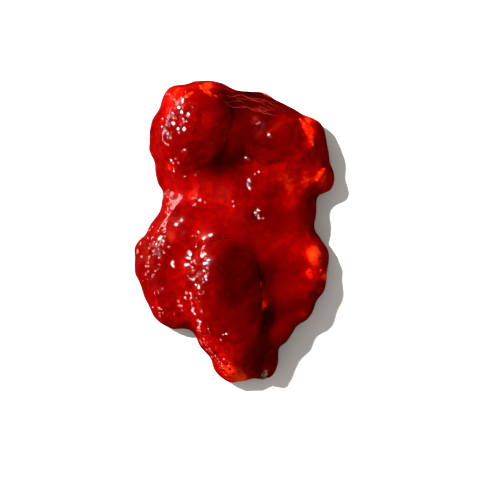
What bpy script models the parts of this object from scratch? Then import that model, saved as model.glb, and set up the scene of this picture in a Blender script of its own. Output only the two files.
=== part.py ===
"""A spoonful of strawberry preserve: soft cooked strawberries lying in a mound of set red jelly.

Metres, +Z up. The mound lies on its flat underside at Z = 0, with the origin under the middle of
its bounding box. +Y runs from the tip of the front berry to the two berries at the back.
"""

import math
from collections import namedtuple

import bmesh
import bpy
from mathutils import Matrix, Vector

MM = 0.001

# The jelly's plan is drawn for DRAWN_LENGTH by DRAWN_WIDTH, then stretched to its own two sizes.
DRAWN_LENGTH = 76.0 * MM
DRAWN_WIDTH = 49.0 * MM
JELLY_LENGTH = 76.0 * MM
JELLY_WIDTH = 49.0 * MM
# The height of the jelly between the berries, which the top of every lobe follows.
JELLY_HEIGHT = 11.0 * MM
# Where a lobe is widest, because set jelly bulges a little over its own foot.
RIM_HEIGHT = 2.2 * MM
# How far below its rim a lobe would come to a point, had the plate not cut it flat.
FOOT_DEPTH = 2.2 * RIM_HEIGHT
# The jelly that has run in under each berry.
BED = 1.4 * MM
# The gap between a berry and the jelly, or the berry, that it presses into.
CLEARANCE = 0.3 * MM

# The jelly's mesh: voxels small enough to keep the lobes, smoothed, then thinned.
VOXEL = 0.8 * MM
SMOOTH_STEPS = 8
KEPT_SHARE = 0.28

# Each berry's own sizes: shoulder to tip, across, and underside to ridge.
FRONT_BERRY_LENGTH = 36.0 * MM
FRONT_BERRY_WIDTH = 18.6 * MM
FRONT_BERRY_THICKNESS = 14.0 * MM
BACK_LEFT_BERRY_LENGTH = 24.5 * MM
BACK_LEFT_BERRY_WIDTH = 18.0 * MM
BACK_LEFT_BERRY_THICKNESS = 14.2 * MM
BACK_RIGHT_BERRY_LENGTH = 23.5 * MM
BACK_RIGHT_BERRY_WIDTH = 14.5 * MM
BACK_RIGHT_BERRY_THICKNESS = 11.2 * MM
LEFT_BERRY_LENGTH = 23.0 * MM
LEFT_BERRY_WIDTH = 12.0 * MM
LEFT_BERRY_THICKNESS = 9.6 * MM
SCRAP_LENGTH = 10.5 * MM
SCRAP_WIDTH = 5.6 * MM
SCRAP_THICKNESS = 4.0 * MM

# A berry is this many rings of this many points, and a point at each end.
BERRY_RINGS = 17
RING_POINTS = 26
# The widest ring, as a share of the length from the shoulder. The tip sinks from there on.
WIDEST = 0.36

Lobe = namedtuple("Lobe", "name x y radius_x radius_y top turn")
# Plan places and radii in millimetres as drawn, and the turn in degrees. The top is a share of
# JELLY_HEIGHT.
LOBES = [
    Lobe("back_left", -9.4, 23.1, 11.9, 12.9, 0.98, 0),
    Lobe("back_left_corner", -13.5, 31.1, 5.2, 6.0, 0.64, 0),
    Lobe("back_crest", -5.8, 30.7, 10.8, 7.0, 0.78, -13),
    Lobe("back_valley", 4.0, 26.4, 9.4, 8.6, 0.60, -25),
    Lobe("back_right", 11.8, 20.7, 13.0, 10.4, 0.94, -33),
    Lobe("back_right_corner", 17.5, 22.4, 6.2, 6.6, 0.70, 0),
    Lobe("right_bump", 20.9, 13.2, 4.2, 4.1, 0.60, 0),
    Lobe("left_shoulder", -15.5, 14.4, 4.6, 4.9, 0.66, 12),
    Lobe("middle", -0.2, 5.5, 18.2, 12.6, 0.96, 0),
    Lobe("left_flank", -16.8, -0.2, 4.4, 6.4, 0.72, -30),
    Lobe("right_waist", 15.4, 6.8, 5.5, 10.4, 0.62, 8),
    Lobe("left_lobe", -13.2, -10.6, 10.6, 13.8, 0.88, 8),
    Lobe("left_nub_back", -21.8, -4.9, 2.7, 3.0, 0.54, 0),
    Lobe("left_nub_middle", -21.6, -9.5, 3.2, 3.2, 0.54, 0),
    Lobe("left_nub_front", -19.9, -15.2, 3.2, 3.6, 0.50, 0),
    Lobe("left_foot", -14.4, -19.6, 8.0, 5.2, 0.54, -22),
    Lobe("right_lobe", 14.5, -8.4, 9.8, 11.0, 0.76, 0),
    Lobe("right_nub", 20.9, -6.5, 3.8, 4.0, 0.64, 0),
    Lobe("right_rim", 20.3, -12.9, 3.5, 4.0, 0.62, 0),
    Lobe("right_low", 14.4, -16.2, 6.5, 7.2, 0.76, 24),
    Lobe("front_right", 9.6, -23.8, 5.3, 6.3, 0.76, -36),
    Lobe("front_bed", -3.6, -13.0, 9.8, 12.0, 0.86, 0),
    Lobe("front_valley", 6.6, -14.6, 9.0, 11.4, 0.52, 0),
    Lobe("front_middle", -2.1, -24.2, 8.3, 8.6, 0.66, 0),
    Lobe("front_toe", 0.5, -33.1, 5.8, 5.2, 0.46, 0),
    Lobe("front_nub", 7.3, -32.0, 3.4, 5.5, 0.38, 0),
]

Berry = namedtuple("Berry", "name x y heading length width thickness sink lean fullness bluntness")
# x and y are the middle's plan place in millimetres as drawn, and the heading is the tip's, in
# degrees from +X. The sink lowers the tip and the lean moves the ridge to the berry's left, both
# in millimetres. The width follows sin(pi * t ** fullness) ** bluntness from shoulder to tip.
BERRIES = [
    Berry("front_berry", -1.5, -20.4, -82.0, FRONT_BERRY_LENGTH, FRONT_BERRY_WIDTH,
          FRONT_BERRY_THICKNESS, 5.6, 0.0, 0.66, 0.52),
    Berry("back_left_berry", -10.2, 24.0, -112.0, BACK_LEFT_BERRY_LENGTH, BACK_LEFT_BERRY_WIDTH,
          BACK_LEFT_BERRY_THICKNESS, 2.6, 0.0, 0.80, 0.58),
    Berry("back_right_berry", 12.4, 20.6, -36.0, BACK_RIGHT_BERRY_LENGTH, BACK_RIGHT_BERRY_WIDTH,
          BACK_RIGHT_BERRY_THICKNESS, 4.4, 0.6, 0.75, 0.58),
    Berry("left_berry", -15.6, -10.0, -98.0, LEFT_BERRY_LENGTH, LEFT_BERRY_WIDTH,
          LEFT_BERRY_THICKNESS, 1.8, 0.0, 0.80, 0.60),
    Berry("front_scrap", 8.5, -31.8, -86.0, SCRAP_LENGTH, SCRAP_WIDTH,
          SCRAP_THICKNESS, 0.6, 0.0, 0.90, 0.55),
]

Finish = namedtuple("Finish", "red green blue roughness")
FINISHES = {
    "jelly": Finish(0.55, 0.004, 0.006, 0.05),
    "front_berry": Finish(0.46, 0.008, 0.006, 0.20),
    "back_left_berry": Finish(0.50, 0.010, 0.008, 0.20),
    "back_right_berry": Finish(0.42, 0.008, 0.008, 0.20),
    "left_berry": Finish(0.48, 0.008, 0.008, 0.20),
    "front_scrap": Finish(0.12, 0.004, 0.005, 0.25),
}


def clear_scene():
    for obj in list(bpy.data.objects):
        bpy.data.objects.remove(obj, do_unlink=True)


def material(name):
    finish = FINISHES[name]
    made = bpy.data.materials.new(name)
    made.use_nodes = True
    shader = made.node_tree.nodes["Principled BSDF"]
    shader.inputs["Base Color"].default_value = (finish.red, finish.green, finish.blue, 1.0)
    shader.inputs["Roughness"].default_value = finish.roughness
    shader.inputs["Metallic"].default_value = 0.0
    return made


def add_object(name, mesh):
    obj = bpy.data.objects.new(name, mesh)
    bpy.context.scene.collection.objects.link(obj)
    return obj


def hide_cutter(obj):
    obj.hide_render = True
    obj.display_type = "WIRE"
    return obj


def cut_by(obj, cutter):
    cut = obj.modifiers.new("cut_by_" + cutter.name, "BOOLEAN")
    cut.operation = "DIFFERENCE"
    cut.solver = "EXACT"
    cut.object = cutter


def plan_place(x, y):
    """A place drawn on the plan, stretched with the jelly."""
    return Vector((x * MM * JELLY_WIDTH / DRAWN_WIDTH, y * MM * JELLY_LENGTH / DRAWN_LENGTH, 0.0))


def add_lobe(mesh, lobe):
    """A ball flattened into the lobe: its rim at RIM_HEIGHT, its crown above, its foot below."""
    ball = bmesh.ops.create_icosphere(mesh, subdivisions=4, radius=1.0)
    rise = lobe.top * JELLY_HEIGHT - RIM_HEIGHT
    turn = Matrix.Rotation(math.radians(lobe.turn), 3, "Z")
    for vertex in ball["verts"]:
        up = vertex.co.z
        flat = turn @ Vector((vertex.co.x * lobe.radius_x, vertex.co.y * lobe.radius_y, 0.0))
        place = plan_place(lobe.x + flat.x, lobe.y + flat.y)
        place.z = RIM_HEIGHT + up * (rise if up > 0 else FOOT_DEPTH)
        vertex.co = place


def jelly_object():
    """All the lobes in one mesh, melted together by the remesh."""
    lobes = bmesh.new()
    for lobe in LOBES:
        add_lobe(lobes, lobe)
    mesh = bpy.data.meshes.new("jelly")
    lobes.to_mesh(mesh)
    lobes.free()
    jelly = add_object("jelly", mesh)
    melt = jelly.modifiers.new("melt", "REMESH")
    melt.mode = "VOXEL"
    melt.voxel_size = VOXEL
    melt.use_smooth_shade = True
    soften = jelly.modifiers.new("soften", "SMOOTH")
    soften.factor = 0.5
    soften.iterations = SMOOTH_STEPS
    thin = jelly.modifiers.new("thin", "DECIMATE")
    thin.ratio = KEPT_SHARE
    return jelly


def berry_mesh(berry, name, extra):
    """The berry lying on its side, or the pocket it needs when extra is more than nothing."""
    half_length = berry.length / 2
    half_width = berry.width / 2
    half_thickness = berry.thickness / 2
    rest = BED + CLEARANCE + half_thickness
    turn = Matrix.Rotation(math.radians(berry.heading), 3, "Z")
    middle = plan_place(berry.x, berry.y)

    def place(along, across, up, sink):
        flat = turn @ Vector((along, across, 0.0))
        return middle + flat + Vector((0.0, 0.0, rest - sink + up))

    body = bmesh.new()
    rings = []
    for ring in range(BERRY_RINGS):
        t = 0.5 - 0.5 * math.cos(math.pi * (ring + 1) / (BERRY_RINGS + 1))
        swell = math.sin(math.pi * t ** berry.fullness) ** berry.bluntness
        sink = berry.sink * MM * max(0.0, (t - WIDEST) / (1.0 - WIDEST)) ** 2
        points = []
        for step in range(RING_POINTS):
            angle = 2.0 * math.pi * step / RING_POINTS
            across = math.cos(angle) * (half_width * swell + extra)
            up = math.sin(angle) * (half_thickness * swell + extra)
            across += berry.lean * MM * swell * math.sin(angle)
            along = (2.0 * t - 1.0) * (half_length + extra)
            points.append(body.verts.new(place(along, across, up, sink)))
        rings.append(points)
    shoulder = body.verts.new(place(-half_length - extra, 0.0, 0.0, 0.0))
    tip = body.verts.new(place(half_length + extra, 0.0, 0.0, berry.sink * MM))
    for step in range(RING_POINTS):
        after = (step + 1) % RING_POINTS
        body.faces.new((rings[0][step], rings[0][after], shoulder))
        body.faces.new((rings[-1][after], rings[-1][step], tip))
        for near, far in zip(rings, rings[1:]):
            body.faces.new((near[after], near[step], far[step], far[after]))
    bmesh.ops.recalc_face_normals(body, faces=body.faces)
    mesh = bpy.data.meshes.new(name)
    body.to_mesh(mesh)
    body.free()
    mesh.shade_smooth()
    return mesh


def plate_object():
    """A block under the plate's surface, which leaves the jelly its flat underside."""
    block = bmesh.new()
    bmesh.ops.create_cube(block, size=1.0)
    deep = 2.0 * FOOT_DEPTH
    size = Matrix.Diagonal((2.0 * JELLY_WIDTH, 2.0 * JELLY_LENGTH, deep, 1.0))
    block.transform(Matrix.Translation((0.0, 0.0, -deep / 2)) @ size)
    mesh = bpy.data.meshes.new("plate")
    block.to_mesh(mesh)
    block.free()
    return hide_cutter(add_object("plate", mesh))


def centre_on_underside(pieces):
    """Moves everything so that the origin lies under the middle of the bounding box."""
    bpy.context.view_layer.update()
    graph = bpy.context.evaluated_depsgraph_get()
    corners = []
    for piece in pieces:
        corners += [Vector(corner) for corner in piece.evaluated_get(graph).bound_box]
    middle_x = (max(c.x for c in corners) + min(c.x for c in corners)) / 2
    middle_y = (max(c.y for c in corners) + min(c.y for c in corners)) / 2
    for obj in bpy.data.objects:
        obj.location = (-middle_x, -middle_y, 0.0)


def build():
    clear_scene()
    jelly = jelly_object()
    jelly.data.materials.append(material("jelly"))
    berries = []
    pockets = []
    for berry in BERRIES:
        obj = add_object(berry.name, berry_mesh(berry, berry.name, 0.0))
        obj.data.materials.append(material(berry.name))
        # The berries set down earlier have already made their pockets in this one.
        for pocket in pockets:
            cut_by(obj, pocket)
        pocket_name = berry.name + "_pocket"
        pocket = add_object(pocket_name, berry_mesh(berry, pocket_name, CLEARANCE))
        pockets.append(hide_cutter(pocket))
        berries.append(obj)
    for pocket in pockets:
        cut_by(jelly, pocket)
    cut_by(jelly, plate_object())
    centre_on_underside([jelly, *berries])


build()
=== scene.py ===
# %% [markdown]
# # A spoonful of strawberry preserve
# The real thing is a few whole, soft, cooked strawberries lying in a low mound of clear red jelly.
# It is made here the way it is made in the pan: fruit first, then a skin of jelly over everything.
# The CAD model is loaded before anything else, because it fixes where each berry lies and how big
# the mound is. Every piece below starts from one of its solids, or lies at shares of its box.

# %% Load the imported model
import math

import bpy
import numpy as np
from mathutils import Matrix, Vector, noise
from mathutils.bvhtree import BVHTree
from mathutils.kdtree import KDTree


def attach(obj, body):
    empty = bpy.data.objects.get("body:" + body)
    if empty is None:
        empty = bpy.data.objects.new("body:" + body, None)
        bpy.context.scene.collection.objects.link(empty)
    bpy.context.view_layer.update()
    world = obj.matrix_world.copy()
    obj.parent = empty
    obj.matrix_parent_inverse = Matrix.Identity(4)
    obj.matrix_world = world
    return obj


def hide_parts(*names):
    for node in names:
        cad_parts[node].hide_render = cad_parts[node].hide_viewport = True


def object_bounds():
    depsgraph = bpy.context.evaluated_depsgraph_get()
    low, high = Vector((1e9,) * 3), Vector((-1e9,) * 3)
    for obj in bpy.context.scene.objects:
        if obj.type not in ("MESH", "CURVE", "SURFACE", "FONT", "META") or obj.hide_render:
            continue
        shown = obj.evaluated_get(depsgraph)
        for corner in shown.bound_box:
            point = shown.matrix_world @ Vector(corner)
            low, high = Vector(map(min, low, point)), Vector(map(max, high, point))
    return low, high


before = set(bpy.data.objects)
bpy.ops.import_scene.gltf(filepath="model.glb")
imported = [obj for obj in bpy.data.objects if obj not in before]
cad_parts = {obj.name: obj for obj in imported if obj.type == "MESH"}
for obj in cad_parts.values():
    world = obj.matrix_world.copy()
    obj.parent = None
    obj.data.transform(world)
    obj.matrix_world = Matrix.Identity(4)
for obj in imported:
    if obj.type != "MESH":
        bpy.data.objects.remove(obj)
cad_low, cad_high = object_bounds()
MM = 0.001
BERRIES = ["front_berry", "back_left_berry", "back_right_berry", "left_berry", "front_scrap"]
DOWN = Vector((0, 0, -1))
OVERHEAD = 100 * MM
print("CAD box in mm:", [round(v / MM, 1) for v in (*cad_low, *cad_high)])

# %% [markdown]
# ## Small tools
# A mesh can be shaped with Blender's operators, or by moving its points with numpy. Operators suit
# whole steps, such as a remesh or an extrusion. Numpy suits soft natural shapes, where every point
# moves by its own amount and no edge may show. An operator acts on all that is selected, so each
# helper first deselects everything and then picks its own piece.


# %% Pick one piece, apply a modifier to it, join two
def pick(*pieces):
    """Selects these pieces and nothing else. The first becomes the active one."""
    bpy.ops.object.select_all(action="DESELECT")
    for piece in pieces:
        piece.select_set(True)
    bpy.context.view_layer.objects.active = pieces[0]


def apply_modifier(piece, kind, **settings):
    pick(piece)
    modifier = piece.modifiers.new(kind.lower(), kind)
    for name, value in settings.items():
        setattr(modifier, name, value)
    bpy.ops.object.modifier_apply(modifier=modifier.name)


def join_pieces(*pieces):
    pick(*pieces)
    bpy.ops.object.join()
    return bpy.context.object


# %% Copy CAD nodes as one clean mesh
def copy_nodes(names, new_name):
    """Copies these CAD nodes into one new piece, and merges their loose triangles."""
    copies = []
    for name in names:
        piece = bpy.data.objects.new(new_name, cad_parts[name].data.copy())
        bpy.context.scene.collection.objects.link(piece)
        copies.append(piece)
    piece = join_pieces(*copies) if len(copies) > 1 else copies[0]
    pick(piece)
    piece.name = new_name
    piece.data.name = new_name
    piece.data.materials.clear()
    bpy.ops.object.mode_set(mode="EDIT")
    bpy.ops.mesh.select_all(action="SELECT")
    bpy.ops.mesh.remove_doubles(threshold=0.001 * MM)
    bpy.ops.object.mode_set(mode="OBJECT")
    return piece


# %% Read and move the points of a mesh
def points_of(piece, what="co"):
    values = np.zeros(len(piece.data.vertices) * 3)
    piece.data.vertices.foreach_get(what, values)
    return values.reshape(-1, 3)


def move_points(piece, points):
    piece.data.vertices.foreach_set("co", np.ascontiguousarray(points, np.float32).ravel())
    piece.data.update()


def lumps_at(points, size, seed):
    """Smooth noise from about -1 to 1 at each point. The size is how far apart its lumps are."""
    shift = Vector((seed, 2.3 * seed, 0.7 * seed))
    return np.array([noise.noise(Vector(p) / size + shift) for p in points])


FLAT_BELOW = 0.5 * MM
SOFT_START = 1.5 * MM


def swell_with_noise(piece, size, height, seed, share=1.0):
    """Pushes the surface in and out by smooth noise, and leaves the underside flat."""
    points = points_of(piece)
    push = lumps_at(points, size, seed) * height
    free = np.clip((points[:, 2] - FLAT_BELOW) / SOFT_START, 0, 1)
    move_points(piece, points + points_of(piece, "normal") * (push * free * share)[:, None])


# %% Find a place on the plan, and on a surface
def surface_tree(piece):
    faces = [tuple(face.vertices) for face in piece.data.polygons]
    return BVHTree.FromPolygons([Vector(p) for p in points_of(piece)], faces)


def place_on_plan(u, v):
    """A plan position from shares of the CAD box: u from left to right, v from front to back."""
    across = cad_low.x + u * (cad_high.x - cad_low.x)
    along = cad_low.y + v * (cad_high.y - cad_low.y)
    return np.array([across, along])


middle = place_on_plan(0.5, 0.5)
print("middle of the plan in mm:", (middle / MM).round(2))

# %% [markdown]
# ## Height maps
# Poured jelly fills the valleys between berries and thins over their tops. That could be simulated
# as a fluid, but a stiff preserve barely flows, so only the resting shape matters. A height map,
# one height for each half millimetre of the plan, makes that shape easy to work out: blur it, keep
# the higher of the fruit and the blur, and repeat.

# %% A map over the plan
CELL = 0.5 * MM
EDGE = 3 * MM  # the map reaches this far past the CAD box
columns = np.arange(cad_low.x - EDGE, cad_high.x + EDGE, CELL)
rows = np.arange(cad_low.y - EDGE, cad_high.y + EDGE, CELL)


def heights_over_plan(piece):
    """The height of the piece's top under each cell, found by looking straight down."""
    tree = surface_tree(piece)
    heights = np.zeros((len(rows), len(columns)))
    for j, y in enumerate(rows):
        for i, x in enumerate(columns):
            hit = tree.ray_cast(Vector((x, y, OVERHEAD)), DOWN)[0]
            if hit is not None:
                heights[j, i] = hit.z
    return heights


def blur(heights, times=1):
    """Gives each cell the mean of itself and its eight neighbours."""
    for _ in range(times):
        padded = np.pad(heights, 1, mode="edge")
        heights = (padded[:-2] + padded[1:-1] + padded[2:]) / 3
        heights = (heights[:, :-2] + heights[:, 1:-1] + heights[:, 2:]) / 3
    return heights


print("map of", len(rows), "rows and", len(columns), "columns")


# %% Read a map under points, and paint soft spots on one
JUST_INSIDE = 1.001  # keeps a point at the far edge within the last cell


def read_at(grid, points):
    """The height of the map under each point, blended from the four cells round it."""
    across = np.clip((points[:, 0] - columns[0]) / CELL, 0, len(columns) - JUST_INSIDE)
    along = np.clip((points[:, 1] - rows[0]) / CELL, 0, len(rows) - JUST_INSIDE)
    i = across.astype(int)
    j = along.astype(int)
    to_right = across - i
    to_back = along - j
    near_row = grid[j, i] * (1 - to_right) + grid[j, i + 1] * to_right
    far_row = grid[j + 1, i] * (1 - to_right) + grid[j + 1, i + 1] * to_right
    return near_row * (1 - to_back) + far_row * to_back


def spots_over_plan(spots):
    """Adds up soft round spots, each (u, v, radius in mm, amount)."""
    total = np.zeros((len(rows), len(columns)))
    for u, v, radius, amount in spots:
        x, y = place_on_plan(u, v)
        away = ((columns[None, :] - x) ** 2 + (rows[:, None] - y) ** 2) / (radius * MM) ** 2
        total += amount * np.exp(-away)
    return total


# %% [markdown]
# ## The jelly
# The jelly is one clear body that holds all the fruit, with a flat underside where it rests and a
# low, wet, rounded top. Modelling it as an offset of the fruit alone would leave deep grooves
# between the berries, which a real syrup fills. So all CAD solids are welded into one shell by a
# voxel remesh, its tops are pressed a little lower, and a block whose top follows the filled
# height map is joined on and remeshed with it. One more remesh and a smooth make the two one skin.


# %% A block under a height map
BLOCK_FOOT = 0.6 * MM


def block_under(heights, least, name):
    """A solid with a flat underside, whose top follows the map wherever that is over the least height."""
    bpy.ops.object.select_all(action="DESELECT")
    wide = len(columns) - 1
    deep = len(rows) - 1
    bpy.ops.mesh.primitive_grid_add(x_subdivisions=wide, y_subdivisions=deep, size=1)
    block = bpy.context.object
    block.name = name
    points = points_of(block)
    i = np.rint((points[:, 0] + 0.5) * wide).astype(int)
    j = np.rint((points[:, 1] + 0.5) * deep).astype(int)
    move_points(block, np.stack([columns[i], rows[j], heights[j, i]], axis=1))
    bpy.context.tool_settings.mesh_select_mode = (True, False, False)
    bpy.ops.object.mode_set(mode="EDIT")
    bpy.ops.mesh.select_all(action="DESELECT")
    bpy.ops.object.mode_set(mode="OBJECT")
    block.data.vertices.foreach_set("select", heights[j, i] < least)
    bpy.ops.object.mode_set(mode="EDIT")
    bpy.ops.mesh.delete(type="VERT")
    bpy.ops.mesh.select_all(action="SELECT")
    bpy.ops.mesh.extrude_region_move()
    bpy.ops.object.mode_set(mode="OBJECT")
    raised = np.zeros(len(block.data.vertices), bool)
    block.data.vertices.foreach_get("select", raised)
    points = points_of(block)
    points[~raised, 2] = BLOCK_FOOT
    move_points(block, points)
    return block


def cap_under(piece, heights):
    """Presses down whatever stands above a height map."""
    points = points_of(piece)
    points[:, 2] = np.minimum(points[:, 2], read_at(heights, points))
    move_points(piece, points)


# %% Weld the CAD solids into one shell
jelly = copy_nodes(["jelly", *BERRIES], "set_jelly")
apply_modifier(jelly, "DISPLACE", strength=0.5 * MM, mid_level=0.0)
apply_modifier(jelly, "REMESH", mode="VOXEL", voxel_size=0.5 * MM)
apply_modifier(jelly, "SMOOTH", factor=0.5, iterations=6)
tops = heights_over_plan(jelly)
print("highest fruit in mm:", round(tops.max() / MM, 2))

# %% Fill the valleys
PRESS_ABOVE = 8 * MM
RELIEF_KEPT = 0.70
FILL_STEPS = 110
FILL_ABOVE = 2.5 * MM
RIM_HEIGHT = 2 * MM
RIM_FADE = 3 * MM
pressed = np.where(tops > PRESS_ABOVE, PRESS_ABOVE + (tops - PRESS_ABOVE) * RELIEF_KEPT, tops)
film = pressed.copy()
for _ in range(FILL_STEPS):
    film = np.where(tops > FILL_ABOVE, np.maximum(pressed, blur(film)), pressed)
inland = np.clip((tops - RIM_HEIGHT) / RIM_FADE, 0, 1)
film = blur(film, times=5) * inland + film * (1 - inland)
print("jelly filled in, in mm:", round((film - pressed).max() / MM, 2))

# %% One skin over all
RIM_LEFT_FREE = 2 * MM
BLOCK_ABOVE = 3 * MM
DRAWN_IN = 0.75 * MM
cap_under(jelly, film + (1 - inland) * RIM_LEFT_FREE)
jelly = join_pieces(jelly, block_under(film, BLOCK_ABOVE, "film"))
apply_modifier(jelly, "REMESH", mode="VOXEL", voxel_size=0.40 * MM)
apply_modifier(jelly, "SMOOTH", factor=0.5, iterations=14)
apply_modifier(jelly, "DISPLACE", strength=0.2 * MM, mid_level=0.0)
swell_with_noise(jelly, size=10 * MM, height=1.1 * MM, seed=3)
swell_with_noise(jelly, size=3.4 * MM, height=0.32 * MM, seed=5)
outwards = points_of(jelly, "normal")
outwards[:, 2] = 0
move_points(jelly, points_of(jelly) - outwards * DRAWN_IN)
top = points_of(jelly)[:, 2].max()
print("jelly:", len(jelly.data.polygons), "faces, height in mm", round(top / MM, 2))

# %% [markdown]
# ## Painted shade and painted glow
# Cooked fruit isn't one red, and its colour also carries painted light. Where the fruit lies deep or
# in shadow, the flesh is painted nearly black as painted shade. Where light passes through a thin
# edge, it is painted orange as a painted glow. Each place is a soft spot on the plan with a radius
# and an amount. The two maps made from them are used twice: berries and pulp sink deeper in a place
# of painted shade, and the colour follows the same map, so the two agree.

# %% Where shade and glow are painted
# u, v, radius in mm, how much painted shade
PAINTED_SHADE_SPOTS = [
    (0.53, 0.73, 4.5, 0.6), (0.66, 0.87, 3.0, 0.6), (0.61, 0.82, 4.5, 0.8), (0.47, 0.90, 3.5, 0.6),
    (0.62, 0.93, 5.0, 1.1), (0.74, 0.93, 4.0, 0.9), (0.08, 0.42, 4.5, 0.4), (0.14, 0.32, 3.0, 0.25),
    (0.84, 0.90, 2.0, 0.3), (0.66, 0.78, 3.5, 0.3), (0.44, 0.70, 3.0, 0.5), (0.49, 0.41, 4.0, 0.8),
    (0.54, 0.34, 5.5, 1.1), (0.66, 0.22, 4.5, 0.6), (0.70, 0.36, 4.0, 0.5), (0.67, 0.09, 3.5, 0.8),
    (0.50, 0.28, 3.5, 0.6), (0.74, 0.54, 3.5, 0.2), (0.92, 0.53, 2.0, 0.6), (0.80, 0.26, 3.0, 0.4),
    (0.20, 0.80, 2.0, 0.3), (0.98, 0.80, 1.5, 0.5), (0.47, 0.20, 3.5, 0.4), (0.05, 0.35, 2.5, 0.3),
]
# u, v, radius in mm, how much painted glow, for light that comes through
PAINTED_GLOW_SPOTS = [
    (0.23, 0.955, 2.0, 0.4), (0.37, 0.965, 1.4, 1.0), (0.31, 0.975, 1.2, 0.4), (0.18, 0.92, 2.4, 0.4),
    (0.18, 0.707, 1.0, 0.6), (0.862, 0.86, 1.3, 0.9), (0.872, 0.82, 1.5, 1.0), (0.875, 0.78, 1.2, 0.7),
    (0.93, 0.677, 1.5, 0.7), (0.86, 0.66, 1.3, 0.45), (0.77, 0.66, 1.8, 0.2), (0.905, 0.43, 1.8, 0.5),
    (0.90, 0.40, 1.8, 0.65), (0.885, 0.36, 1.5, 0.6), (0.84, 0.23, 1.2, 0.7), (0.954, 0.35, 1.1, 1.0),
    (0.53, 0.015, 1.6, 0.8), (0.47, 0.05, 2.0, 0.5), (0.66, 0.27, 0.9, 0.8), (0.64, 0.29, 0.8, 0.5),
    (0.36, 0.60, 6.0, 0.10), (0.16, 0.26, 3.0, 0.12), (0.36, 0.14, 3.0, 0.25), (0.29, 0.61, 4.0, 0.2),
    (0.76, 0.67, 3.5, 0.2), (0.93, 0.66, 2.5, 0.3), (0.42, 0.10, 3.0, 0.35), (0.53, 0.03, 3.0, 0.5),
    (0.85, 0.72, 4.0, 0.2), (0.78, 0.62, 4.0, 0.2), (0.88, 0.44, 3.0, 0.25),
]
MOST = 1.2
GLOW_SHARE = 0.85
painted_shade = np.clip(spots_over_plan(PAINTED_SHADE_SPOTS), 0, MOST)
painted_glow = np.clip(GLOW_SHARE * spots_over_plan(PAINTED_GLOW_SPOTS), 0, MOST)
print("darkest", round(painted_shade.max(), 2), "and brightest", round(painted_glow.max(), 2))

# %% [markdown]
# ## Berries under the jelly
# Each berry is soft and a little collapsed, with a shallow dimple where each seed sits. A sculpt
# would need a hand. Here the CAD berry is remeshed fine enough to bend, shrunk a little so that
# jelly covers it, pressed under the film, swollen with noise and dimpled.


# %% Scatter seeds on a surface
def scatter(piece, spacing, seed, tries=4000):
    """Random places on the surface, none nearer to another than the spacing."""
    rng = np.random.default_rng(seed)
    points = points_of(piece)
    piece.data.calc_loop_triangles()
    corners = points[np.array([t.vertices for t in piece.data.loop_triangles])]
    facing = np.cross(corners[:, 1] - corners[:, 0], corners[:, 2] - corners[:, 0])
    area = np.linalg.norm(facing, axis=1) / 2
    chosen = rng.choice(len(corners), tries, p=area / area.sum())
    far = np.sqrt(rng.random(tries))[:, None]
    turn = rng.random(tries)[:, None]
    first, second, third = corners[chosen].transpose(1, 0, 2)
    spots = (1 - far) * first + far * (1 - turn) * second + far * turn * third
    normals = facing[chosen] / (2 * area[chosen])[:, None]
    kept = [0]
    for i in range(1, tries):
        if ((spots[kept] - spots[i]) ** 2).sum(1).min() > spacing**2:
            kept.append(i)
    return spots[kept], normals[kept]


# %% Press dimples and keep a piece inside the jelly
def press_spots(piece, spots, depth, width):
    """Dimples, or domes where the depth is negative. Depth and width may differ from spot to spot."""
    depth = np.broadcast_to(depth, len(spots))
    width = np.broadcast_to(width, len(spots))
    tree = KDTree(len(spots))
    for i, spot in enumerate(spots):
        tree.insert(spot, i)
    tree.balance()
    points = points_of(piece)
    found = [tree.find(p) for p in points]
    which = np.array([f[1] for f in found])
    away = np.array([f[2] for f in found])
    push = -depth[which] * np.exp(-((away / width[which]) ** 2))
    move_points(piece, points + points_of(piece, "normal") * push[:, None])


skin = surface_tree(jelly)


def keep_inside(piece, least):
    """Moves back any point that comes nearer to the skin of the jelly than the least depth."""
    points = points_of(piece)
    for i, p in enumerate(points):
        near, normal, _, _ = skin.find_nearest(Vector(p))
        if (near - Vector(p)).dot(normal) < least:
            points[i] = near - normal * least
    move_points(piece, points)


# %% Make each berry
# how much jelly covers each, in mm
FILM_OVER = {
    "front_berry": 1.1,
    "back_left_berry": 1.15,
    "back_right_berry": 1.6,
    "left_berry": 1.25,
    "front_scrap": 0.9,
}
DARK_SINKS = 0.8 * MM
FILM_LEAST = 0.5 * MM
SEED_SPACING = 1.6 * MM
SEEDS_KEPT = 0.62  # share of the dimples' places that are kept
flesh = {}
seeds = {}
for order, name in enumerate(BERRIES):
    berry = copy_nodes([name], name + "_flesh")
    apply_modifier(berry, "REMESH", mode="VOXEL", voxel_size=0.45 * MM)
    apply_modifier(berry, "SMOOTH", factor=0.5, iterations=8)
    apply_modifier(berry, "DISPLACE", strength=-0.3 * MM, mid_level=0.0)
    # each berry lies deeper under the jelly where shade is painted
    cap_under(berry, film - FILM_OVER[name] * MM - DARK_SINKS * painted_shade)
    apply_modifier(berry, "SMOOTH", factor=0.5, iterations=4)
    swell_with_noise(berry, size=5 * MM, height=0.6 * MM, seed=order)
    swell_with_noise(berry, size=2 * MM, height=0.2 * MM, seed=order)
    keep_inside(berry, FILM_LEAST)
    spots, normals = scatter(berry, SEED_SPACING, seed=11 + order)
    kept = np.random.default_rng(31 + order).random(len(spots)) < SEEDS_KEPT
    seeds[name] = (spots[kept], normals[kept])
    press_spots(berry, seeds[name][0], depth=0.22 * MM, width=0.6 * MM)
    flesh[name] = berry
    print(name, len(berry.data.polygons), "faces,", kept.sum(), "seeds")
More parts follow.
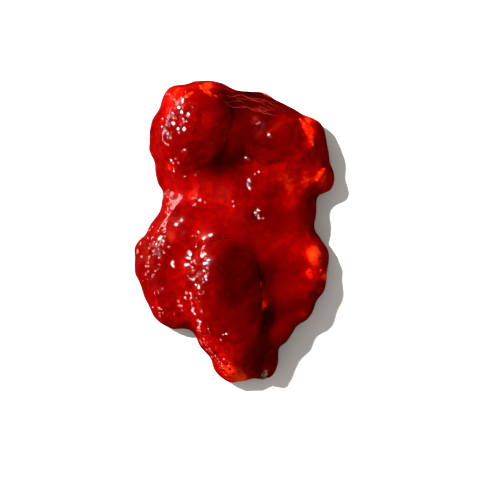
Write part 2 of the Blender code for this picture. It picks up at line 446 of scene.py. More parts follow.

# %% [markdown]
# ## Pulp
# Between the berries lies broken pulp, the same flesh without its skin. Without it, the clear jelly
# would show the table. It is the CAD jelly drawn in at the sides, with a top that follows the film
# a little deeper, deeper still where shade is painted, and a little higher where glow is painted.

# %% Make the pulp
PULP_DEPTH = 1.15 * MM
DARK_PULP_SINKS = 1.8 * MM
GLOW_PULP_RISES = 0.5 * MM
PULP_ABOVE = 4 * MM
PULP_FOOT = 0.5 * MM
PULP_DRAWN_IN = 1.2 * MM
pulp = copy_nodes(["jelly"], "pulp")
pulp_top = film - PULP_DEPTH - DARK_PULP_SINKS * painted_shade + GLOW_PULP_RISES * painted_glow
apply_modifier(pulp, "REMESH", mode="VOXEL", voxel_size=0.55 * MM)
outwards = points_of(pulp, "normal")
outwards[:, 2] = 0
move_points(pulp, points_of(pulp) - outwards * PULP_DRAWN_IN)
cap_under(pulp, pulp_top)
pulp_heights = np.where(tops > PULP_ABOVE, pulp_top, 0)
pulp = join_pieces(pulp, block_under(pulp_heights, 1 * MM, "pulp_block"))
apply_modifier(pulp, "REMESH", mode="VOXEL", voxel_size=0.5 * MM)
apply_modifier(pulp, "SMOOTH", factor=0.5, iterations=8)
swell_with_noise(pulp, size=6 * MM, height=1.3 * MM, seed=7)
swell_with_noise(pulp, size=2 * MM, height=0.15 * MM, seed=9)
points = points_of(pulp)
points[:, 2] = np.maximum(points[:, 2], PULP_FOOT)
move_points(pulp, points)
keep_inside(pulp, FILM_LEAST)
flesh["pulp"] = pulp
print("pulp:", len(pulp.data.polygons), "faces")

# %% [markdown]
# ## Seeds
# The seeds of a strawberry are small dry fruits, called achenes, each a flattened drop. They could
# be instances of one mesh, but each has to be a real mesh in its own piece, so one is modelled with
# few faces and copied. A copy is turned so that its flat side lies on the flesh.


# %% One seed
def drop_shape(name, segments, rings, size, taper):
    """A small drop: a sphere of few faces, made narrower towards one end and given its size."""
    bpy.ops.object.select_all(action="DESELECT")
    bpy.ops.mesh.primitive_uv_sphere_add(segments=segments, ring_count=rings, radius=1)
    drop = bpy.context.object
    drop.name = name
    points = points_of(drop)
    points[:, 1:] *= (1 - taper * points[:, 0])[:, None]
    move_points(drop, points * np.array(size))
    return drop


def lying_on(spot, out, sink, turn, scale=1.0):
    """The place of a copy that lies on a surface, sunk in by a little and turned about its normal."""
    out = Vector(out).normalized()
    side = Matrix.Rotation(turn, 3, out) @ out.orthogonal().normalized()
    turned = Matrix((side, out.cross(side), out)).transposed().to_4x4()
    return Matrix.Translation(Vector(spot) - out * sink) @ turned @ Matrix.Scale(scale, 4)


def copies_of(model, places, name):
    """One piece from copies of the model, each with its own mesh, at these places."""
    copies = []
    for place in places:
        mesh = model.data.copy()
        mesh.transform(place)
        copy = bpy.data.objects.new(name, mesh)
        bpy.context.scene.collection.objects.link(copy)
        copies.append(copy)
    piece = join_pieces(*copies)
    piece.name = name
    return piece


# %% Plant the seeds
SEED_SIZE = (0.40 * MM, 0.26 * MM, 0.18 * MM)
SEED_SUNK = 0.16 * MM
one_seed = drop_shape("one_seed", segments=8, rings=6, size=SEED_SIZE, taper=0.3)
achenes = []
for name in BERRIES:
    rng = np.random.default_rng(5)
    places = []
    for spot, out in zip(*seeds[name]):
        places.append(lying_on(spot, out, SEED_SUNK, rng.random() * math.tau))
    achenes.append(copies_of(one_seed, places, name + "_achenes"))
bpy.data.objects.remove(one_seed)
print("seeds planted:", sum(len(spots) for spots, _ in seeds.values()))

# %% [markdown]
# ## Bits of painted glow
# Orange streaks of light near the edge, where light comes through thin jelly, are painted as torn
# shreds of orange flesh just under the skin of the jelly. They could be painted on the pulp, but
# light has to come through them, so each is a small lumpy body of its own, laid along the skin at a
# small depth.

# %% Where the bits lie
# u, v, length and width in mm, turn in degrees, depth under the skin in mm
BITS = [
    (0.872, 0.83, 6.4, 2.0, -72, 0.75), (0.895, 0.775, 2.6, 1.3, -60, 0.9),
    (0.935, 0.685, 3.0, 1.2, 60, 0.7), (0.885, 0.650, 3.4, 1.2, 15, 1.1),
    (0.82, 0.635, 2.0, 1.2, 40, 1.5), (0.905, 0.42, 5.0, 2.1, -75, 0.9),
    (0.89, 0.36, 2.6, 1.3, -60, 1.2), (0.945, 0.37, 2.6, 0.9, 88, 0.4),
    (0.865, 0.235, 2.6, 1.1, 45, 0.9), (0.378, 0.955, 4.4, 1.7, -28, 0.7),
    (0.27, 0.945, 2.4, 1.2, 20, 1.1), (0.52, 0.03, 3.4, 1.7, 10, 0.8),
    (0.19, 0.70, 1.2, 0.8, 80, 0.8), (0.658, 0.265, 2.8, 1.8, 75, 1.15),
    (0.645, 0.325, 1.8, 0.8, 85, 1.6),
]
BIT_THICKNESS = 0.42 * MM


def skin_point(u, v):
    """The point of the jelly's skin over a place on the plan, and the way out from it."""
    x, y = place_on_plan(u, v)
    return skin.ray_cast(Vector((x, y, OVERHEAD)), DOWN)[:2]


# %% Make the bits
BIT_LUMP_SIZE = 0.9 * MM
BIT_LUMP_SHARE = 0.55


def add_bit(u, v, length, width, turn, depth, order):
    """A lumpy shred of orange flesh, a painted glow, laid along the skin at its depth. The order gives each
    its own lumps.
    """
    spot, out = skin_point(u, v)
    bpy.ops.object.select_all(action="DESELECT")
    bpy.ops.mesh.primitive_ico_sphere_add(subdivisions=4, radius=1)
    bit = bpy.context.object
    points = points_of(bit) * np.array([length / 2 * MM, width / 2 * MM, BIT_THICKNESS])
    shift = Vector((order, 0, 0))
    lump = np.array([noise.noise(Vector(p) / BIT_LUMP_SIZE + shift) for p in points])
    points *= (1 + BIT_LUMP_SHARE * lump)[:, None]
    along = Matrix.Rotation(math.radians(turn), 3, "Z") @ Vector((1, 0, 0))
    side = out.cross(along).normalized()
    axes = np.array([side.cross(out), side, out])
    move_points(bit, points @ axes + np.array(spot - out * (depth * MM + BIT_THICKNESS)))
    return bit


bits = [add_bit(*bit, order) for order, bit in enumerate(BITS)]
glow_bits = join_pieces(*bits)
glow_bits.name = "glow_fruit_bits"
keep_inside(glow_bits, least=0.22 * MM)
print("pale bits:", len(bits), "of", len(glow_bits.data.polygons), "faces in all")

# %% [markdown]
# ## A dry brown tip
# At the front end a scrap of the calyx has dried to a thin, dark, curled leaf. A thin leaf is a
# sheet: a grid is drawn in to a leaf's outline, curled, crumpled by noise and laid over the skin.
# Solidify then gives it thickness, and Subdivision rounds it.

# %% Make the dry tip
TIP_LENGTH = 2.9
TIP_HALF_WIDTH = 0.85
TIP_TURN = math.radians(-112)
TIP_OVER_SKIN = 0.15 * MM
TIP_OVER_TABLE = 1.4 * MM
TIP_CURL_KEPT = 0.35
bpy.ops.object.select_all(action="DESELECT")
bpy.ops.mesh.primitive_grid_add(x_subdivisions=16, y_subdivisions=10, size=1)
dry_tip = bpy.context.object
dry_tip.name = "dry_tip"
points = points_of(dry_tip)
along = points[:, 0] + 0.5
across = points[:, 1] * 2
# full in the middle, drawn in at both ends, and narrower towards the far one
leaf = np.sin(np.pi * np.clip(along, 0.04, 0.97)) ** 0.7 * (1 - 0.35 * along)
# the edges turn up, and the whole leaf arches
curl = 0.5 * leaf * across**2 + 0.9 * along * (1 - along)
points = np.stack([TIP_LENGTH * along, TIP_HALF_WIDTH * across * leaf, curl], axis=1) * MM
points[:, 1:] += lumps_at(points, size=0.8 * MM, seed=3)[:, None] * 0.35 * MM
turn = np.array(Matrix.Rotation(TIP_TURN, 3, "Z"))
points = points @ turn.T + np.array([*place_on_plan(0.665, 0.045), 0])
for i, p in enumerate(points):
    hit = skin.ray_cast(Vector((p[0], p[1], OVERHEAD)), DOWN)[0]
    ground = hit.z + TIP_OVER_SKIN if hit else TIP_OVER_TABLE
    points[i, 2] = ground + TIP_CURL_KEPT * p[2]
move_points(dry_tip, points)
apply_modifier(dry_tip, "SOLIDIFY", thickness=0.28 * MM, offset=0)
apply_modifier(dry_tip, "SUBSURF", levels=2, render_levels=2)
print("dry tip:", len(dry_tip.data.polygons), "faces")

# %% [markdown]
# ## Painted sheen at the back
# Along the back edge, light glances off the wrinkled skin as fine pale streaks, and these are painted
# as fine pale fibres. A bump map would vanish under the clear jelly, so each fibre is a curve with a
# round section, laid just under the surface. A curve is easy to bend, and it is converted to a mesh
# once it lies in its place.

# %% Make the fibres of painted sheen
CREST_U = 0.48
CREST_V = 0.955
LEFT_FALL = 5.0
RIGHT_FALL = 0.75
FIBRE_POINTS = 14
FIBRE_DEPTH = 0.16 * MM


def add_fibre(start, span, inset, order):
    """A thin tube just under the skin. It climbs to the crest from the left and falls away to the right."""
    curve = bpy.data.curves.new("fibre", "CURVE")
    curve.dimensions = "3D"
    curve.bevel_depth = 0.045 * MM
    curve.bevel_resolution = 1
    curve.use_fill_caps = True
    spline = curve.splines.new("NURBS")
    spline.points.add(FIBRE_POINTS - 1)
    for i in range(FIBRE_POINTS):
        u = start + span * i / (FIBRE_POINTS - 1)
        drop = (LEFT_FALL if u < CREST_U else RIGHT_FALL) * (u - CREST_U) ** 2
        # two waves of different length, so that no fibre runs straight
        waver = 0.004 * math.sin(60 * u + 2 * order) + 0.002 * math.sin(150 * u + order)
        spot, out = skin_point(u, CREST_V - drop - inset + waver)
        spline.points[i].co = (*(spot - out * FIBRE_DEPTH), 1)
        spline.points[i].radius = math.sin(math.pi * (i + 0.5) / FIBRE_POINTS) ** 0.5
    spline.use_endpoint_u = True
    fibre = bpy.data.objects.new("fibre", curve)
    bpy.context.scene.collection.objects.link(fibre)
    pick(fibre)
    bpy.ops.object.convert(target="MESH")
    return bpy.context.object


rng = np.random.default_rng(41)
fibres = []
for order in range(14):
    start = rng.uniform(0.36, 0.62)
    span = rng.uniform(0.08, 0.17)
    inset = rng.uniform(0.0, 0.06)
    fibres.append(add_fibre(start, span, inset, order))
sheen_fibres = join_pieces(*fibres)
sheen_fibres.name = "painted_sheen_fibres"
print("fibres:", len(fibres), "of", len(sheen_fibres.data.polygons), "faces in all")

# %% [markdown]
# ## Bumps on the skin
# Seeds and scraps just under the surface lift the wet skin into hundreds of tiny bumps, and each
# bump mirrors the lamp as one white point. That sparkle is what makes the preserve look wet. A bump
# map alone would lose it at the outline, so the skin is subdivided where the bumps are and really
# raised there, by noise first and then by a small dome at each spot.

# %% Where the skin is grainy
# u, v, reach across and along in mm, how many bumps
CLUSTERS = [
    (0.25, 0.84, 5.0, 8.5, 10), (0.163, 0.60, 1.0, 3.0, 6), (0.63, 0.55, 1.3, 2.0, 7),
    (0.10, 0.42, 2.6, 8.0, 30), (0.13, 0.30, 2.0, 3.0, 8), (0.31, 0.40, 2.6, 6.0, 10),
    (0.31, 0.35, 1.4, 2.6, 8), (0.34, 0.29, 1.4, 2.6, 10), (0.35, 0.21, 1.4, 2.6, 16),
    (0.38, 0.15, 1.4, 2.6, 16), (0.43, 0.10, 1.4, 2.6, 12), (0.276, 0.276, 2.0, 2.5, 9),
    (0.335, 0.594, 1.6, 1.4, 5), (0.60, 0.66, 1.6, 1.5, 4),
]
# u, v of the larger drops
DROPS = [
    (0.25, 0.745), (0.577, 0.73), (0.362, 0.845), (0.276, 0.845), (0.684, 0.796), (0.291, 0.408),
    (0.209, 0.388), (0.363, 0.335), (0.352, 0.602), (0.32, 0.582), (0.622, 0.55), (0.60, 0.66),
    (0.59, 0.63),
]
GRAIN_REACH = 1.2 * MM
GRAINY = 0.35
grain = np.zeros_like(tops)
for u, v, across, along, _ in CLUSTERS:
    x, y = place_on_plan(u, v)
    away_x = (columns[None, :] - x) / (across * GRAIN_REACH)
    away_y = (rows[:, None] - y) / (along * GRAIN_REACH)
    grain = np.maximum(grain, np.exp(-((away_x**2 + away_y**2) ** 1.5)))
# the rim at the back left runs smooth
smooth_rim = np.clip(spots_over_plan([(0.12, 0.87, 5.0, 1.0)]), 0, 1)
SMOOTHED = 0.9
grain *= 1 - SMOOTHED * smooth_rim
DROP_REACH = 1.5
drop_map = spots_over_plan([(u, v, DROP_REACH, 1.0) for u, v in DROPS])
print("share of the plan that is grainy:", round((grain > GRAINY).mean(), 3))


# %% Subdivide the skin there
def face_values(piece, what):
    values = np.zeros(len(piece.data.polygons) * 3)
    piece.data.polygons.foreach_get(what, values)
    return values.reshape(-1, 3)


centres = face_values(jelly, "center")
FACES_UP = 0.1
wanted = np.maximum(read_at(grain, centres), read_at(drop_map, centres)) > GRAINY
wanted &= face_values(jelly, "normal")[:, 2] > FACES_UP
pick(jelly)
bpy.context.tool_settings.mesh_select_mode = (False, False, True)
bpy.ops.object.mode_set(mode="EDIT")
bpy.ops.mesh.select_all(action="DESELECT")
bpy.ops.object.mode_set(mode="OBJECT")
jelly.data.polygons.foreach_set("select", wanted)
bpy.ops.object.mode_set(mode="EDIT")
bpy.ops.mesh.subdivide(number_cuts=1)
bpy.ops.object.mode_set(mode="OBJECT")
print("jelly after refining:", len(jelly.data.polygons), "faces")


# %% Raise the bumps
def spots_in_clusters(seed):
    rng = np.random.default_rng(seed)
    found = []
    for u, v, across, along, count in CLUSTERS:
        x, y = place_on_plan(u, v)
        for _ in range(count):
            turn = rng.random() * math.tau
            far = math.sqrt(rng.random()) * MM
            found.append((x + far * across * math.cos(turn), y + far * along * math.sin(turn)))
    return found


def on_skin(places):
    hits = [skin.ray_cast(Vector((x, y, OVERHEAD)), DOWN)[0] for x, y in places]
    return [hit for hit in hits if hit is not None]


ROUGH_ALL_OVER = 0.1
ROUGHER_IN_GRAIN = 0.8
rough = ROUGH_ALL_OVER + ROUGHER_IN_GRAIN * read_at(grain, points_of(jelly))
swell_with_noise(jelly, size=1.3 * MM, height=0.30 * MM, seed=13, share=rough)
places = on_skin(spots_in_clusters(seed=21))
rng = np.random.default_rng(22)
wide = rng.uniform(0.42, 0.68, len(places)) * MM
steep = rng.uniform(0.35, 0.68, len(places))
press_spots(jelly, places, depth=-wide * steep, width=wide)
drops = on_skin([tuple(place_on_plan(u, v)) for u, v in DROPS])
press_spots(jelly, drops, depth=-0.62 * MM, width=0.9 * MM)
seed_spots = np.concatenate([spots for spots, _ in seeds.values()])
press_spots(jelly, seed_spots, depth=0.10 * MM, width=0.7 * MM)
print("bumps raised:", len(places), "and larger drops:", len(DROPS))

# %% A flat underside
RESTS_BELOW = 0.25 * MM
points = points_of(jelly)
resting = points[:, 2] < RESTS_BELOW
points[resting, 2] = 0.0
move_points(jelly, points)
print("points that rest on the table:", resting.sum())
wet_skin = surface_tree(jelly)

# %% [markdown]
# ## Beads of syrup
# Between the bumps stand beads of clear syrup, too small for the jelly's own mesh to carry. They
# run in rows along the edges of the berries, where syrup gathers. One bead is modelled with a few
# dozen faces, and each copy is sunk into the wet skin, so that only a low cap shows.

# %% Rows of beads
# start u, v, end u, v, spread in mm, how many
BEAD_ROWS = [
    (0.14, 0.955, 0.20, 0.93, 0.8, 9), (0.158, 0.865, 0.174, 0.76, 0.8, 13),
    (0.235, 0.885, 0.26, 0.835, 0.5, 4), (0.20, 0.73, 0.21, 0.70, 0.8, 7),
    (0.25, 0.674, 0.32, 0.68, 0.2, 3), (0.60, 0.68, 0.575, 0.64, 0.7, 3),
    (0.143, 0.635, 0.184, 0.553, 0.5, 7), (0.155, 0.51, 0.16, 0.43, 0.7, 13),
    (0.082, 0.41, 0.066, 0.326, 0.8, 12), (0.133, 0.41, 0.09, 0.355, 0.5, 7),
    (0.19, 0.40, 0.22, 0.38, 0.5, 3), (0.33, 0.49, 0.26, 0.47, 0.5, 5),
    (0.25, 0.43, 0.30, 0.378, 0.6, 6), (0.355, 0.395, 0.363, 0.335, 0.5, 4),
    (0.34, 0.336, 0.306, 0.316, 0.4, 6), (0.28, 0.30, 0.24, 0.256, 0.6, 9),
    (0.295, 0.286, 0.30, 0.23, 0.4, 9), (0.10, 0.256, 0.14, 0.227, 0.9, 6),
    (0.21, 0.232, 0.19, 0.222, 0.4, 4), (0.33, 0.214, 0.315, 0.16, 0.7, 14),
    (0.32, 0.16, 0.39, 0.095, 0.9, 24), (0.39, 0.095, 0.455, 0.043, 1.0, 30),
    (0.43, 0.145, 0.46, 0.17, 0.5, 5), (0.607, 0.576, 0.643, 0.53, 1.0, 9),
    (0.31, 0.61, 0.37, 0.59, 0.5, 5), (0.47, 0.57, 0.50, 0.60, 0.6, 2),
    (0.62, 0.85, 0.69, 0.80, 0.6, 3),
]
BEAD_RADIUS = 0.36 * MM
BEAD_SHOWS = 0.30  # share of its radius that stands above the skin
BEAD_GAP = 0.62 * MM
BEAD_STRAY = 0.7 * MM


def spots_in_rows(seed):
    rng = np.random.default_rng(seed)
    found = []
    for u, v, end_u, end_v, spread, count in BEAD_ROWS:
        start = place_on_plan(u, v)
        end = place_on_plan(end_u, end_v)
        for step in rng.random(count):
            spot = start + (end - start) * step + rng.normal(0, BEAD_STRAY * spread, 2)
            if all(np.hypot(*(spot - other)) > BEAD_GAP for other in found):
                found.append(spot)
    return found


# %% Set the beads
SMALLEST_BEAD = 0.6
LARGEST_BEAD = 1.15
NOT_TOO_STEEP = 0.3
BEAD_SIZE = (BEAD_RADIUS, BEAD_RADIUS, BEAD_RADIUS)
one_bead = drop_shape("one_bead", segments=10, rings=7, size=BEAD_SIZE, taper=0.0)
rng = np.random.default_rng(52)
places = []
for x, y in spots_in_rows(seed=51):
    spot, out, _, _ = wet_skin.ray_cast(Vector((x, y, OVERHEAD)), DOWN)
    size = rng.uniform(SMALLEST_BEAD, LARGEST_BEAD)
    if spot is not None and out.z > NOT_TOO_STEEP:
        sink = BEAD_RADIUS * size * (1 - BEAD_SHOWS)
        places.append(lying_on(spot, out, sink, rng.random() * math.tau, size))
syrup_beads = copies_of(one_bead, places, "syrup_beads")
bpy.data.objects.remove(one_bead)
print("beads:", len(places))

# %% [markdown]
# ## What the materials read
# Two values travel with the meshes as attributes, one for each point. A tone, from 0 for painted
# shade, nearly black, to 1 for painted glow, orange, is on the flesh, and grain, where the skin is
# bumpy, is on the jelly. A pattern in the material alone couldn't know where a berry ends.


# %% Painted tone and grain
def paint(piece, name, values):
    """Stores a value from 0 to 1 on each point of the piece."""
    attribute = piece.data.attributes.new(name, "FLOAT", "POINT")
    attribute.data.foreach_set("value", np.clip(values, 0, 1).astype(np.float32))


# the flesh's own deep red, darkened by painted shade and lightened by painted glow
PLAIN_RED = 0.5
DARKENS = 0.52
LIGHTENS = 0.5
for piece in flesh.values():
    points = points_of(piece)
    tone_with_painted_light = PLAIN_RED - DARKENS * read_at(painted_shade, points) + LIGHTENS * read_at(painted_glow, points)
    paint(piece, "tone_with_painted_light", tone_with_painted_light)
paint(jelly, "grain", read_at(grain, points_of(jelly)))
print("ripeness painted on:", list(flesh))

# %% [markdown]
# ## Materials
# Every finish here is cloudy: cooked flesh, pale shreds, seeds and the dry tip all change colour in
# soft spots. One node group makes the clouds, and each material gives it its own size and
# contrast. The group puts out two values: a shift about zero, to add to another value, and a cloud
# from 0 to 1, to feed a colour ramp.


# %% A new material, and its values
def new_material(name):
    made = bpy.data.materials.new(name)
    made.use_nodes = True
    return made, made.node_tree.nodes, made.node_tree.links


def set_values(node, **values):
    for name, value in values.items():
        node.inputs[name.replace("_", " ")].default_value = value


def add_math(nodes, links, operation, first, second):
    """A Math node. Each input is a number or another node's output."""
    node = nodes.new("ShaderNodeMath")
    node.operation = operation
    for socket, value in zip(node.inputs, (first, second)):
        if isinstance(value, (int, float)):
            socket.default_value = value
        else:
            links.new(value, socket)
    return node.outputs[0]


# %% The cloudiness group
cloudiness = bpy.data.node_groups.new("cloudiness", "ShaderNodeTree")
cloudiness.interface.new_socket("Position", in_out="INPUT", socket_type="NodeSocketVector")
cloudiness.interface.new_socket("Clouds per metre", in_out="INPUT", socket_type="NodeSocketFloat")
cloudiness.interface.new_socket("Contrast", in_out="INPUT", socket_type="NodeSocketFloat")
cloudiness.interface.new_socket("Shift", in_out="OUTPUT", socket_type="NodeSocketFloat")
cloudiness.interface.new_socket("Cloud", in_out="OUTPUT", socket_type="NodeSocketFloat")
inside = cloudiness.nodes
wires = cloudiness.links
given = inside.new("NodeGroupInput")
result = inside.new("NodeGroupOutput")
puffs = inside.new("ShaderNodeTexNoise")
puffs.inputs["Detail"].default_value = 4.0
wires.new(given.outputs["Position"], puffs.inputs["Vector"])
wires.new(given.outputs["Clouds per metre"], puffs.inputs["Scale"])
centred = add_math(inside, wires, "SUBTRACT", puffs.outputs["Fac"], 0.5)
shift = add_math(inside, wires, "MULTIPLY", centred, given.outputs["Contrast"])
wires.new(shift, result.inputs["Shift"])
wires.new(add_math(inside, wires, "ADD", shift, 0.5), result.inputs["Cloud"])
print("group:", [item.name for item in cloudiness.interface.items_tree])


# %% Put clouds in a material
def add_clouds(nodes, links, clouds_per_metre, contrast):
    """Places the group in a material, reading the piece's own Object coordinates."""
    place = nodes.new("ShaderNodeTexCoord")
    group = nodes.new("ShaderNodeGroup")
    group.node_tree = cloudiness
    set_values(group, Clouds_per_metre=clouds_per_metre, Contrast=contrast)
    links.new(place.outputs["Object"], group.inputs["Position"])
    return group


def add_ramp(nodes, links, value, stops):
    """A colour ramp through these (position, colour) stops."""
    ramp = nodes.new("ShaderNodeValToRGB")
    marks = ramp.color_ramp.elements
    for mark, (position, colour) in zip(marks, (stops[0], stops[-1])):
        mark.position = position
        mark.color = (*colour, 1)
    for position, colour in stops[1:-1]:
        marks.new(position).color = (*colour, 1)
    links.new(value, ramp.inputs[0])
    return ramp.outputs[0]


# %% [markdown]
# ## Clear red jelly
# Jelly is a clear body: it bends light as water with sugar does, and it takes up green and blue on
# the way, so a deep place is darker than a thin one. Glass with a Volume Absorption does the same.
# Two helpers keep it quick to render. A shadow ray leaves through the back of the surface as if it
# were open, so the lamp reaches the fruit. A diffuse ray from the floor meets a dark red face, so
# that the floor's shadow stays grey.

# %% The jelly's surface
jelly_finish, nodes, links = new_material("clear_red_jelly")
shader = nodes["Principled BSDF"]
BLISTERS_PER_METRE = 620.0
BLISTER_HEIGHT = 0.16 * MM
set_values(shader, Base_Color=(1.0, 0.55, 0.5, 1.0), Transmission_Weight=1.0)
set_values(shader, Roughness=0.09, IOR=1.36, Specular_IOR_Level=1.0)
place = nodes.new("ShaderNodeTexCoord")
blisters = nodes.new("ShaderNodeTexVoronoi")
blisters.inputs["Scale"].default_value = BLISTERS_PER_METRE
links.new(place.outputs["Object"], blisters.inputs["Vector"])
dome = nodes.new("ShaderNodeMapRange")
dome.interpolation_type = "SMOOTHSTEP"
set_values(dome, From_Min=0.0, From_Max=0.42, To_Min=1.0, To_Max=0.0)
links.new(blisters.outputs["Distance"], dome.inputs["Value"])
where = nodes.new("ShaderNodeAttribute")
where.attribute_name = "grain"
bump = nodes.new("ShaderNodeBump")
set_values(bump, Strength=1.0, Distance=BLISTER_HEIGHT)
rise = add_math(nodes, links, "MULTIPLY", where.outputs["Fac"], dome.outputs[0])
links.new(rise, bump.inputs["Height"])
links.new(bump.outputs[0], shader.inputs["Normal"])

# %% The jelly's body, and its two helpers
output = nodes["Material Output"]
absorb = nodes.new("ShaderNodeVolumeAbsorption")
set_values(absorb, Color=(0.94, 0.25, 0.0, 1.0), Density=1300.0)
links.new(absorb.outputs[0], output.inputs["Volume"])
clear = nodes.new("ShaderNodeBsdfTransparent")
shade = nodes.new("ShaderNodeBsdfDiffuse")
set_values(shade, Color=(0.05, 0.005, 0.004, 1.0))
path = nodes.new("ShaderNodeLightPath")
side = nodes.new("ShaderNodeNewGeometry")
leaving = side.outputs["Backfacing"]
shadow_leaving = add_math(nodes, links, "MULTIPLY", path.outputs["Is Shadow Ray"], leaving)
open_to_lamp = nodes.new("ShaderNodeMixShader")
links.new(shadow_leaving, open_to_lamp.inputs[0])
links.new(shader.outputs[0], open_to_lamp.inputs[1])
links.new(clear.outputs[0], open_to_lamp.inputs[2])
entering = add_math(nodes, links, "SUBTRACT", 1.0, leaving)
floor_ray = add_math(nodes, links, "MULTIPLY", path.outputs["Is Diffuse Ray"], entering)
closed_to_floor = nodes.new("ShaderNodeMixShader")
links.new(floor_ray, closed_to_floor.inputs[0])
links.new(open_to_lamp.outputs[0], closed_to_floor.inputs[1])
links.new(shade.outputs[0], closed_to_floor.inputs[2])
links.new(closed_to_floor.outputs[0], output.inputs["Surface"])
jelly.data.materials.append(jelly_finish)

# %% [markdown]
# ## Clear syrup
# A bead has to show only its mirror point, or it would look like a glass marble. Transmission with
# an IOR of 1 bends no light at all, so the bead is invisible, and a clear coat over it gives the
# reflection. The coat is a little rough, and its IOR is far above real syrup's 1.4 or so, because
# only a strong mirror lets so small a bead show as a white point.

# %% The beads' finish
syrup_finish, nodes, links = new_material("clear_syrup")
shader = nodes["Principled BSDF"]
set_values(shader, Roughness=0.0, IOR=1.0, Transmission_Weight=1.0)
set_values(shader, Coat_Weight=1.0, Coat_Roughness=0.2, Coat_IOR=3.2)
clouds = add_clouds(nodes, links, clouds_per_metre=900.0, contrast=1.0)
SYRUP_TINTS = [(0.3, (1.0, 0.86, 0.84)), (0.7, (1.0, 1.0, 1.0))]
tint = add_ramp(nodes, links, clouds.outputs["Cloud"], SYRUP_TINTS)
links.new(tint, shader.inputs["Base Color"])
syrup_beads.data.materials.append(syrup_finish)
syrup_beads.visible_shadow = False
syrup_beads.visible_diffuse = False

# %% [markdown]
# ## Cooked flesh
# The colour of the flesh follows its tone through a ramp, from nearly black for painted shade,
# through its own deep red, to orange for a painted glow where light passes through. Clouds shift the
# tone up and down, so that no patch is even. Subsurface scattering lets red light wander under the
# surface, as it does in real fruit.

# %% The flesh's finish
flesh_finish, nodes, links = new_material("cooked_flesh")
shader = nodes["Principled BSDF"]
set_values(shader, Roughness=0.35, Specular_IOR_Level=0.05)
set_values(shader, Subsurface_Weight=0.8, Subsurface_Radius=(1.0, 0.10, 0.06), Subsurface_Scale=2 * MM)
tone_reader = nodes.new("ShaderNodeAttribute")
tone_reader.attribute_name = "tone_with_painted_light"
clouds = add_clouds(nodes, links, clouds_per_metre=650.0, contrast=0.45)
tone_with_painted_light = add_math(nodes, links, "ADD", tone_reader.outputs["Fac"], clouds.outputs["Shift"])
# 0 is painted shade, 0.5 the flesh's own deep red, and from 0.82 up a painted orange glow
FLESH_COLOURS = [
    (0.0, (0.045, 0.0007, 0.0009)),
    (0.25, (0.078, 0.0009, 0.0012)),
    (0.5, (0.122, 0.0012, 0.0018)),
    (0.66, (0.235, 0.0045, 0.003)),
    (0.82, (0.55, 0.12, 0.012)),
    (1.0, (0.65, 0.25, 0.03)),
]
links.new(add_ramp(nodes, links, tone_with_painted_light, FLESH_COLOURS), shader.inputs["Base Color"])
for piece in flesh.values():
    piece.data.materials.append(flesh_finish)
print("flesh colours:", len(FLESH_COLOURS))

# %% [markdown]
# ## Seeds, glowing shreds, sheen fibres and the dry tip
# These four are small, so each is a plain shader with its own clouds: dark seeds, orange shreds of
# painted glow that light passes through, pale fibres of painted sheen and a brown leaf with
# bleached spots.


# %% Small finishes
def cloudy_finish(name, clouds_per_metre, stops, **values):
    """A plain shader whose colour follows clouds through a ramp."""
    made, nodes, links = new_material(name)
    shader = nodes["Principled BSDF"]
    set_values(shader, **values)
    clouds = add_clouds(nodes, links, clouds_per_metre, contrast=1.0)
    links.new(add_ramp(nodes, links, clouds.outputs["Cloud"], stops), shader.inputs["Base Color"])
    return made


seed_finish = cloudy_finish(
    "achene", 1500.0, [(0.35, (0.035, 0.0015, 0.001)), (0.65, (0.095, 0.006, 0.003))],
    Roughness=0.4, Specular_IOR_Level=0.05,
)
# orange shreds: a painted glow where light comes through the thin edge
glow_finish = cloudy_finish(
    "glow_fruit", 1400.0, [(0.35, (0.45, 0.02, 0.006)), (0.65, (0.8, 0.32, 0.03))],
    Roughness=0.35, Specular_IOR_Level=0.05,
    Subsurface_Weight=0.9, Subsurface_Radius=(1.0, 0.3, 0.1), Subsurface_Scale=1 * MM,
)
# pale fibres: a painted sheen for light glancing off the wrinkled back edge
sheen_finish = cloudy_finish(
    "fibre", 700.0, [(0.35, (0.10, 0.008, 0.008)), (0.65, (0.26, 0.045, 0.04))],
    Roughness=0.4, Specular_IOR_Level=0.1,
    Subsurface_Weight=0.4, Subsurface_Radius=(1.0, 0.3, 0.2), Subsurface_Scale=0.5 * MM,
)
tip_finish = cloudy_finish(
    "dry_brown", 1800.0, [(0.42, (0.010, 0.003, 0.002)), (0.72, (0.15, 0.065, 0.035))],
    Roughness=0.5, Specular_IOR_Level=0.25,
)
for piece in achenes:
    piece.data.materials.append(seed_finish)
glow_bits.data.materials.append(glow_finish)
sheen_fibres.data.materials.append(sheen_finish)
dry_tip.data.materials.append(tip_finish)
print("materials:", [material.name for material in bpy.data.materials if material.users])

# %% [markdown]
# ## Which piece rides on what
# Nothing here moves, so every piece rides on the one body. The jelly and the five berries replace
# their CAD solids, which are hidden here and stay in the physics model.


# %% Ride and replace
def place_in_model(piece, slot, *nodes_replaced):
    """Hands a piece over to the model: smooth, riding on the body, with its CAD nodes hidden. The slot is
    not used.
    """
    piece.data.shade_smooth()
    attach(piece, "root")
    if nodes_replaced:
        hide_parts(*nodes_replaced)


place_in_model(jelly, "jelly", "jelly")
place_in_model(syrup_beads, "jelly")
place_in_model(flesh["pulp"], "cooked_berry")
for name in BERRIES:
    place_in_model(flesh[name], "cooked_berry", name)
for piece in (glow_bits, sheen_fibres, dry_tip):
    place_in_model(piece, "cooked_berry")
for piece in achenes:
    place_in_model(piece, "dark_berry")
print("pieces that replace CAD nodes:", 1 + len(BERRIES))

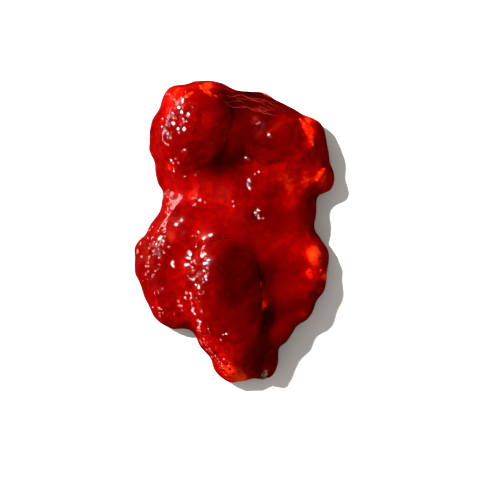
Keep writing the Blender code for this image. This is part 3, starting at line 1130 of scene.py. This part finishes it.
# %% [markdown]
# ## Table, lights and camera
# The preserve lies on a plain pale table under one high lamp with a small disc, which gives the
# sparkle and a clear shadow. The world fills the rest with soft warm light. The world and the table
# don't show in reflections, because a wet surface would mirror them as a pink veil. A long low
# strip light on the left adds sparkle to that side, and a pale sheen where the side turns in.

# %% The table
bpy.ops.object.select_all(action="DESELECT")
TABLE_SIZE = 4
TABLE_HEIGHT = 0.08 * MM  # a hair above the jelly's underside, so that the two never share a plane
bpy.ops.mesh.primitive_plane_add(size=TABLE_SIZE, location=(0, 0, TABLE_HEIGHT))
floor = bpy.context.object
floor.name = "floor"
floor_finish, nodes, links = new_material("pale_floor")
paint_finish = nodes["Principled BSDF"]
set_values(paint_finish, Base_Color=(0.8, 0.8, 0.8, 1), Roughness=0.8, Specular_IOR_Level=0.1)
floor.data.materials.append(floor_finish)
floor.visible_glossy = False

# %% The soft light all round
world = bpy.data.worlds.new("studio")
bpy.context.scene.world = world
world.use_nodes = True
nodes = world.node_tree.nodes
links = world.node_tree.links
nodes["Background"].inputs["Color"].default_value = (1.0, 0.94, 0.88, 1)
way = nodes.new("ShaderNodeTexCoord")
split = nodes.new("ShaderNodeSeparateXYZ")
links.new(way.outputs["Generated"], split.inputs[0])
low_to_high = nodes.new("ShaderNodeMapRange")
set_values(low_to_high, From_Min=0.50, From_Max=0.68, To_Min=1.0, To_Max=0.3)
links.new(split.outputs["Z"], low_to_high.inputs["Value"])
left_to_right = nodes.new("ShaderNodeMapRange")
set_values(left_to_right, From_Min=-1.0, From_Max=1.0, To_Min=1.2, To_Max=0.8)
links.new(split.outputs["X"], left_to_right.inputs["Value"])
strength = add_math(nodes, links, "MULTIPLY", low_to_high.outputs[0], left_to_right.outputs[0])
links.new(strength, nodes["Background"].inputs["Strength"])
world.cycles_visibility.glossy = False


# %% The lamp and the strip light
def add_light(name, kind, energy):
    light = bpy.data.lights.new(name, kind)
    light.energy = energy
    made = bpy.data.objects.new(name, light)
    bpy.context.scene.collection.objects.link(made)
    return made


def aim(made, way):
    made.rotation_euler = Vector(way).to_track_quat("-Z", "Y").to_euler()


lamp = add_light("lamp", "SUN", energy=12.0)
lamp.data.angle = math.radians(3)
LAMP_RISE = math.atan(0.82)
LAMP_TO_RIGHT = 0.81
LAMP_TO_FRONT = 0.59
level = math.cos(LAMP_RISE)
aim(lamp, (LAMP_TO_RIGHT * level, -LAMP_TO_FRONT * level, -math.sin(LAMP_RISE)))
strip = add_light("strip", "AREA", energy=1.6)
strip.data.shape = "RECTANGLE"
strip.data.size = 0.60
strip.data.size_y = 0.08
strip.location = (-0.50, 0.24, 0.09)
aim(strip, -strip.location)
strip.visible_camera = False

# %% The camera
SENSOR_WIDTH = 36
LENS_LENGTH = 100
VIEW_WIDTH = 120 * MM
VIEW_HEIGHT = 3 * MM
VIEW_CENTRE = (1.5 * MM, -2.25 * MM)
lens = bpy.data.cameras.new("camera")
lens.lens = LENS_LENGTH
camera = bpy.data.objects.new("camera", lens)
bpy.context.scene.collection.objects.link(camera)
camera.location = (*VIEW_CENTRE, VIEW_HEIGHT + VIEW_WIDTH * LENS_LENGTH / SENSOR_WIDTH)
bpy.context.scene.camera = camera
bpy.context.scene.view_settings.view_transform = "Standard"
print("camera height in mm:", round(camera.location.z / MM))
